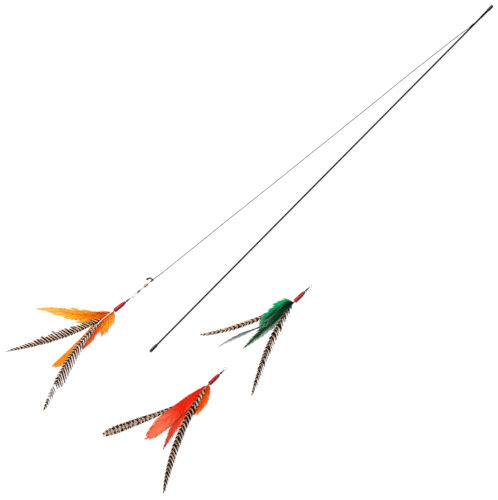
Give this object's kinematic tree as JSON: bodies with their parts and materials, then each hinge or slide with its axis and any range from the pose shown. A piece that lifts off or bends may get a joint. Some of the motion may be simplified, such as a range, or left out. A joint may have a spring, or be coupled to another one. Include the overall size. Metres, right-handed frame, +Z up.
{
  "type": "cat teaser wand",
  "caption": "Thin black wand with vinyl end caps, a long cord with a barrel swivel and safety snap, a clipped feather lure and spare feather lures laid beside it.",
  "frame": {"origin": "centre of the handle cap's flat end face, on the rod's axis", "axes": "+X along the rod from the handle to the tip, +Z up from the surface that the toy lies on, +Y to the side on which the string lies"},
  "size_m": [1.1275, 0.413, 0.008],
  "materials": {
    "rod": "satin fibreglass, pigmented black",
    "vinyl": "glossy dipped vinyl",
    "shrink": "satin shrunk film",
    "string": "braided cord, matt with a slight sheen",
    "steel": "bright drawn wire",
    "brass": "bright, lightly tarnished in the folds",
    "dark_wire": "dark lacquered wire",
    "cap_red": "glossy translucent",
    "glue": "set hot glue",
    "barred_feather": "natural feather with cross bars",
    "orange_plume": "dyed feather",
    "flame_plume": "dyed feather",
    "green_plume": "dyed feather",
    "dark_green_plume": "dyed feather",
    "red_plume": "dyed feather"
  },
  "bodies": {
    "wand": {"rod": "rod", "handle_cap": "vinyl", "tip_cap": "vinyl", "tip_sleeve": "shrink", "string_anchor": "string"},
    "string_line": {"string": "string", "string_knot": "string", "string_loop": "string", "string_tag": "string", "swivel_upper_eye": "steel"},
    "swivel_barrel": {"swivel_barrel": "brass"},
    "swivel_lower_eye": {"swivel_lower_eye": "steel"},
    "snap": {"snap_frame": "steel", "snap_plate": "brass"},
    "snap_gate": {"snap_gate": "steel"},
    "orange_lure": {"orange_lure_eye": "steel", "orange_lure_binding": "dark_wire", "orange_lure_cap": "cap_red", "orange_lure_plug": "glue", "orange_barred_feather_low": "barred_feather", "orange_barred_feather_high": "barred_feather", "orange_plume_wide": "orange_plume", "orange_plume_long": "orange_plume", "orange_plume_flame": "flame_plume", "orange_plume_short": "orange_plume"},
    "green_lure": {"green_lure_eye": "steel", "green_lure_binding": "dark_wire", "green_lure_cap": "cap_red", "green_lure_plug": "glue", "green_barred_feather_low": "barred_feather", "green_barred_feather_high": "barred_feather", "green_plume_wide": "green_plume", "green_plume_long": "green_plume", "green_plume_thin": "dark_green_plume"},
    "red_lure": {"red_lure_eye": "steel", "red_lure_binding": "dark_wire", "red_lure_cap": "cap_red", "red_lure_plug": "glue", "red_barred_feather_low": "barred_feather", "red_barred_feather_high": "barred_feather", "red_plume_wide": "red_plume", "red_plume_long": "red_plume", "red_plume_short": "flame_plume"}
  },
  "joints": [
    {"name": "string_swing", "type": "hinge", "parent": "wand", "child": "string_line", "pos_m": [0.8487, 0.00235, 0], "axis": [0, 0, 1], "range_deg": [-110, 0]},
    {"name": "barrel_spin", "type": "hinge", "parent": "string_line", "child": "swivel_barrel", "pos_m": [0.08279, 0.09249, -0.0001], "axis": [-0.9945, 0.1045, 0], "continuous": true},
    {"name": "lower_eye_spin", "type": "hinge", "parent": "swivel_barrel", "child": "swivel_lower_eye", "pos_m": [0.08279, 0.09249, -0.0001], "axis": [-0.9945, 0.1045, 0], "continuous": true},
    {"name": "snap_swing", "type": "hinge", "parent": "swivel_lower_eye", "child": "snap", "pos_m": [0.07016, 0.09382, -0.0001], "axis": [0, 0, 1], "range_deg": [-50, 20]},
    {"name": "gate_open", "type": "hinge", "parent": "snap", "child": "snap_gate", "pos_m": [0.05149, 0.09359, -0.0001], "axis": [0.0108, -0.866, -0.5], "range_deg": [0, 25], "stiffness_Nm_per_rad": 0.0002, "springref_deg": -11.46},
    {"name": "orange_lure_swing", "type": "hinge", "parent": "snap", "child": "orange_lure", "pos_m": [0.05146, 0.09579, -0.0001], "axis": [0, 0, 1], "range_deg": [-50, 20]},
    {"name": "green_lure_lift", "type": "slide", "parent": "wand", "child": "green_lure", "axis": [0, 0, 1], "range_m": [0, 0.1]},
    {"name": "red_lure_lift", "type": "slide", "parent": "wand", "child": "red_lure", "axis": [0, 0, 1], "range_m": [0, 0.1]}
  ]
}
